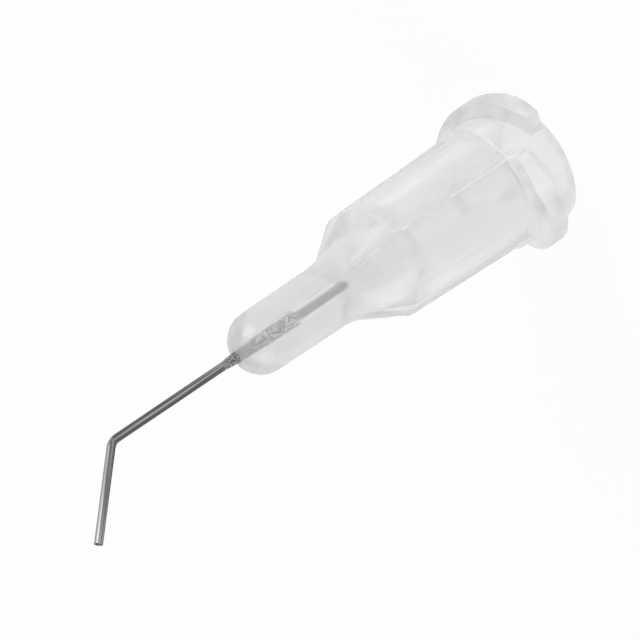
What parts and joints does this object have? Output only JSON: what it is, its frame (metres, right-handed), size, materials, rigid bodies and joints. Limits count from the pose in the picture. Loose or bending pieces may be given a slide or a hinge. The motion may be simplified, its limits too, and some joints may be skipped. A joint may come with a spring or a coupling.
{
  "type": "dispensing needle tip",
  "caption": "Needle tip for dispensing adhesive, flux or grease: a moulded luer-lock hub with a thin stainless cannula that is bent near its open end.",
  "frame": {"origin": "on the hub's axis, in the plane of its open rear face, which the tip stands on", "axes": "+Z along the hub's axis, from the open rear face up to the nose; the cannula bends towards +X"},
  "size_m": [0.0078, 0.0078, 0.0304],
  "materials": {
    "natural_polypropylene": "translucent natural polypropylene, as moulded",
    "stainless_steel": "drawn tube, square-cut ends",
    "cured_adhesive": "clear cured adhesive, slightly grey"
  },
  "bodies": {
    "root": {"luer_lock_hub": "natural_polypropylene", "cannula": "stainless_steel", "adhesive_bond": "cured_adhesive"}
  },
  "joints": []
}
